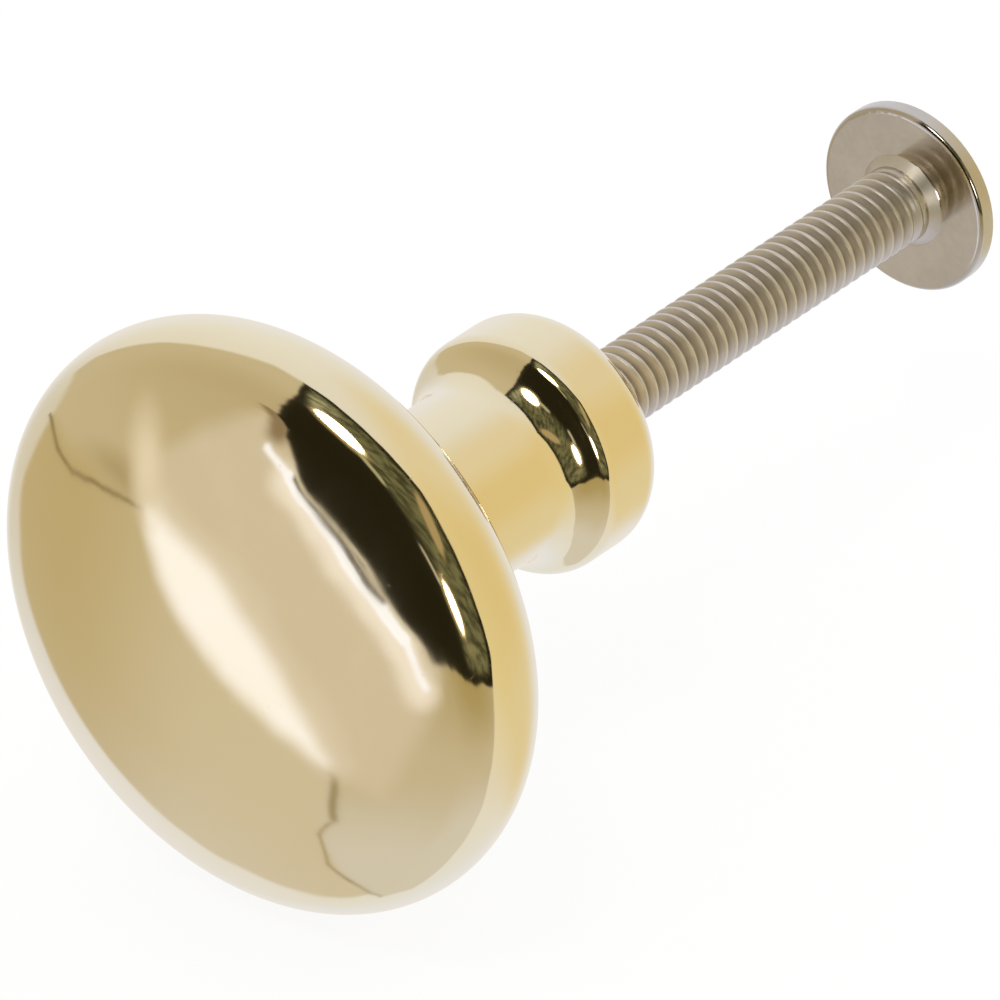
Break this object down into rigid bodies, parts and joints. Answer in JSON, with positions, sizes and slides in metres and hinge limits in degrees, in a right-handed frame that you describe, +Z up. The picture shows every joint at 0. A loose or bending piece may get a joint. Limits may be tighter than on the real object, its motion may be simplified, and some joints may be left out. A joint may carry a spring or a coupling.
{
  "type": "cabinet knob",
  "caption": "Polished brass mushroom knob for a cabinet door or drawer, with a domed round head, slim neck, flared foot and the threaded screw that fixes it through the panel.",
  "frame": {"origin": "centre of the foot's flat back face, where the knob's axis meets the front of the panel", "axes": "+Y along the knob's axis out of its back face into the panel, so the domed head points to -Y; +Z up; +X to the right for a person who faces the dome"},
  "size_m": [0.0318, 0.059, 0.0318],
  "materials": {
    "polished_brass": "mirror polished and lacquered",
    "nickel_plated_steel": "satin nickel plating"
  },
  "bodies": {
    "root": {"knob": "polished_brass", "machine_screw": "nickel_plated_steel"}
  },
  "joints": []
}
